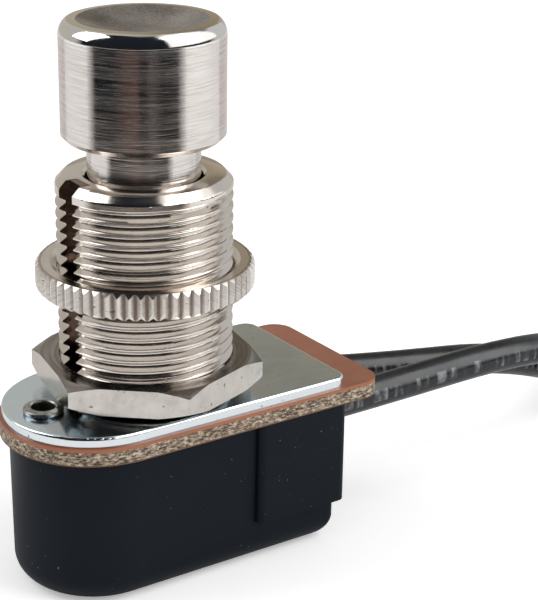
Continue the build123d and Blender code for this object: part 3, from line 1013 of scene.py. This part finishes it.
def card_material():
    """Painted reflection: the dark stretch of floor before the object, with the brown streaks that the
    metal shows.
    """
    material, tree, shader = glowing_material("card_dark")
    x, y, _, reach = axis_point(tree)
    slant = maths(tree, "DIVIDE", x, maths(tree, "ABSOLUTE", y))
    angle = way_round(tree, x, y)
    near = spread(tree, reach, CARD_NEAR, CARD_DARK, 1.0, 0.0)
    left_edge = spread(tree, angle, CARD_LEFT, CARD_LEFT + CARD_EDGE, 1.0, 0.0)
    right_edge = spread(tree, angle, CARD_RIGHT - CARD_EDGE, CARD_RIGHT)
    edge = maths(tree, "MAXIMUM", left_edge, right_edge)
    streaks = ramp(
        tree,
        spread(tree, slant, -1.0, 1.0),
        (0.14, (0.010, 0.012, 0.014)),
        (0.24, (0.055, 0.034, 0.030)),
        (0.44, (0.105, 0.060, 0.052)),
        (0.49, (0.012, 0.011, 0.012)),
        (0.56, (0.012, 0.011, 0.012)),
        (0.60, (0.080, 0.064, 0.068)),
        (0.69, (0.060, 0.050, 0.055)),
        (0.74, (0.014, 0.014, 0.015)),
    )
    colour = mix(tree, near, streaks, (0.34, 0.31, 0.28, 1.0))
    wire(tree, shader, Emission_Color=mix(tree, edge, colour, (0.90, 0.88, 0.86, 1.0)))
    return material


def back_material():
    """Painted reflection: the greyer floor behind the object that its sides show."""
    material, tree, shader = glowing_material("card_grey")
    wire(tree, shader, Emission_Color=(0.70, 0.66, 0.64, 1.0))
    return material


def floor_material():
    """White floor, lifted for the camera so that it meets the white background."""
    material, tree, shader = new_material(
        "floor_white",
        Base_Color=(0.93, 0.93, 0.93, 1.0),
        Roughness=1.0,
        Specular_IOR_Level=0.0,
        Emission_Color=(1.0, 1.0, 1.0, 1.0),
    )
    seen = add_node(tree, "ShaderNodeLightPath").outputs["Is Camera Ray"]
    lift = spread(tree, axis_point(tree)[3], FLOOR_LIT, FLOOR_DIM, FLOOR_LIFT, FAR_LIFT)
    wire(tree, shader, Emission_Strength=times(tree, seen, lift))
    return material


def room():
    """A sphere round the whole stage, which only reflections show."""
    mesh = bpy.data.meshes.new("room")
    work = bmesh.new()
    bmesh.ops.create_uvsphere(work, u_segments=32, v_segments=16, radius=ROOM_RADIUS)
    work.to_mesh(mesh)
    work.free()
    only_in_reflections(stage_piece("room", mesh, camera_frame, room_material()))


def floor_card(name, left, right, near, material):
    """A fan-shaped card on the floor, from one angle to the other, open round the object, glowing only in
    reflections.
    """
    mesh = bpy.data.meshes.new(name)
    points = []
    for step in range(CARD_STEPS + 1):
        angle = left + (right - left) * step / CARD_STEPS
        for reach in (near, CARD_FAR):
            points.append((reach * sin(angle), -reach * cos(angle), 0.0))
    faces = [(2 * i, 2 * i + 2, 2 * i + 3, 2 * i + 1) for i in range(CARD_STEPS)]
    mesh.from_pydata(points, [], faces)
    place = Matrix.Translation((0, 0, FLOOR_Z + CARD_GAP)) @ camera_frame
    only_in_reflections(stage_piece(name, mesh, place, material))


def add_world():
    """White for the camera, and half as bright for the light that the object gets."""
    world = bpy.data.worlds.new("studio")
    world.use_nodes = True
    tree = world.node_tree
    seen = add_node(tree, "ShaderNodeLightPath").outputs["Is Camera Ray"]
    wire(
        tree,
        tree.nodes["Background"],
        Strength=spread(tree, seen, 0.0, 1.0, WORLD_STRENGTH, 1.0),
        Color=(1.0, 1.0, 1.0, 1.0),
    )
    bpy.context.scene.world = world


camera_frame = Matrix.Rotation(CAMERA_AZIMUTH, 4, "Z")
stage_piece(
    "floor",
    square("floor", FLOOR_WIDTH),
    Matrix.Translation((0, 0, FLOOR_Z)),
    floor_material(),
)
room()
floor_card("dark_card", CARD_LEFT, CARD_RIGHT, CARD_NEAR, card_material())
floor_card("back_card", BACK_LEFT, BACK_RIGHT, BACK_NEAR, back_material())
lamp("left_box", radians(-94.0), size=(0.2, 0.28), energy=0.5)
lamp("right_box", radians(76.0), size=(0.24, 0.34), energy=0.75)
add_world()


def add_camera():
    data = bpy.data.cameras.new("camera")
    data.sensor_width = SENSOR_MM
    data.lens = FOCAL_PX / FRAME_HEIGHT_PX * SENSOR_MM
    data.shift_x = (FRAME_CENTRE_PX[0] - PRINCIPAL_PX[0]) / FRAME_HEIGHT_PX
    data.shift_y = -(FRAME_CENTRE_PX[1] - PRINCIPAL_PX[1]) / FRAME_HEIGHT_PX
    data.clip_start = 1 * MM
    camera = bpy.data.objects.new("camera", data)
    turn = camera_frame @ Matrix.Rotation(pi / 2 - CAMERA_ELEVATION, 4, "X")
    right = turn @ Vector((1, 0, 0))
    back = turn @ Vector((0, 0, 1))
    place = right * CAMERA_SIDE + Vector((0, 0, CAMERA_TARGET_Z)) + back * CAMERA_DISTANCE
    camera.matrix_world = Matrix.Translation(place) @ turn @ Matrix.Rotation(CAMERA_ROLL, 4, "Z")
    bpy.context.scene.collection.objects.link(camera)
    bpy.context.scene.camera = camera


add_camera()
bpy.context.scene.view_settings.view_transform = "Standard"
